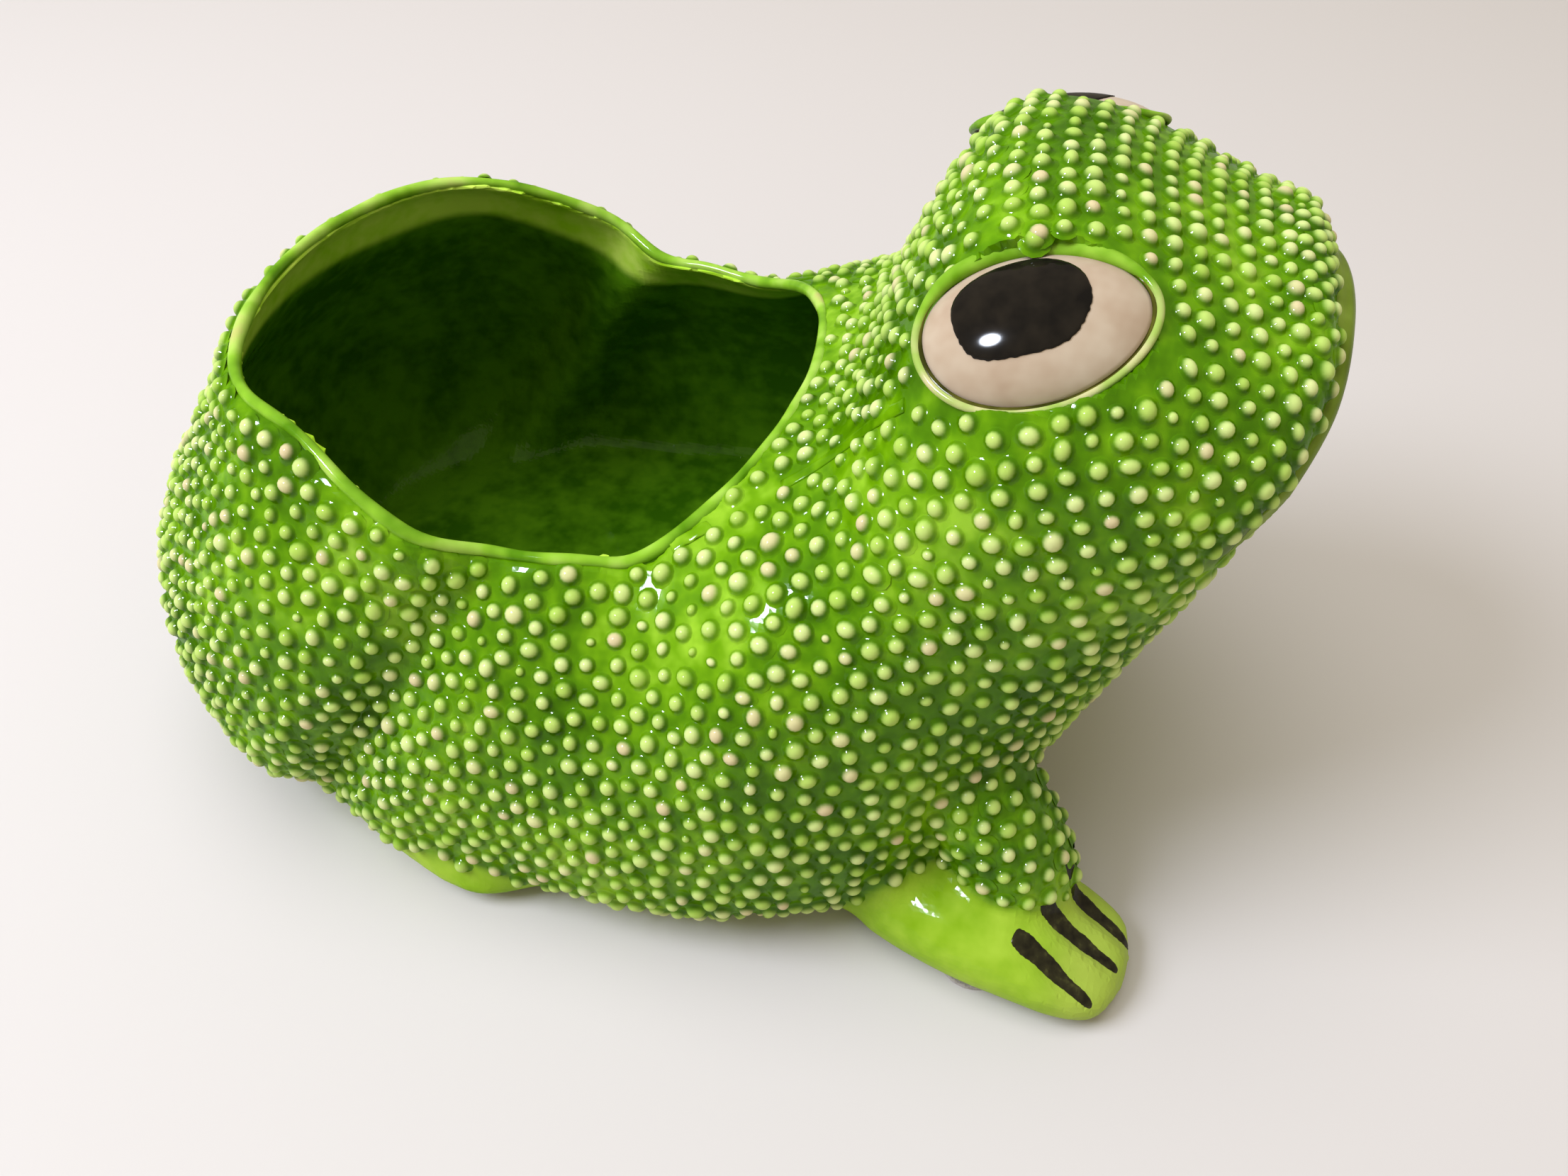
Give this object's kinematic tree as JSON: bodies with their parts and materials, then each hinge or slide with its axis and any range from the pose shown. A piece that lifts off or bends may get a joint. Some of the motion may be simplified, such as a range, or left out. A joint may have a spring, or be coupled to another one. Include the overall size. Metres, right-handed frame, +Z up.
{
  "type": "frog planter",
  "caption": "Squatting frog planter in glazed earthenware, with an open back that holds a plant, beaded skin and painted eyes and claws.",
  "frame": {"origin": "on the surface the frog stands on, under the middle of its length and width", "axes": "+Z up, -Y the way the frog faces, +X its left"},
  "size_m": [0.1752, 0.2588, 0.1595],
  "materials": {
    "green_glaze": "wet gloss, bright leaf green, darker where it pools",
    "lime_glaze": "wet gloss, pale lime green",
    "olive_glaze": "gloss, olive green",
    "cream_glaze": "gloss, cream to pinkish beige",
    "black_enamel": "hard gloss, black",
    "claw_enamel": "brushed on, brown black",
    "felt": "grey-beige felt"
  },
  "bodies": {
    "root": {"pot_body": "green_glaze", "head": "green_glaze", "lower_lip": "olive_glaze", "foreleg_left": "green_glaze", "forefoot_left": "lime_glaze", "hindfoot_left": "lime_glaze", "claw_enamel_1_left": "claw_enamel", "claw_enamel_2_left": "claw_enamel", "claw_enamel_3_left": "claw_enamel", "eye_left": "cream_glaze", "pupil_enamel_left": "black_enamel", "felt_pad_front_left": "felt", "felt_pad_rear_left": "felt", "foreleg_right": "green_glaze", "forefoot_right": "lime_glaze", "hindfoot_right": "lime_glaze", "claw_enamel_1_right": "claw_enamel", "claw_enamel_2_right": "claw_enamel", "claw_enamel_3_right": "claw_enamel", "eye_right": "cream_glaze", "pupil_enamel_right": "black_enamel", "felt_pad_front_right": "felt", "felt_pad_rear_right": "felt"}
  },
  "joints": []
}
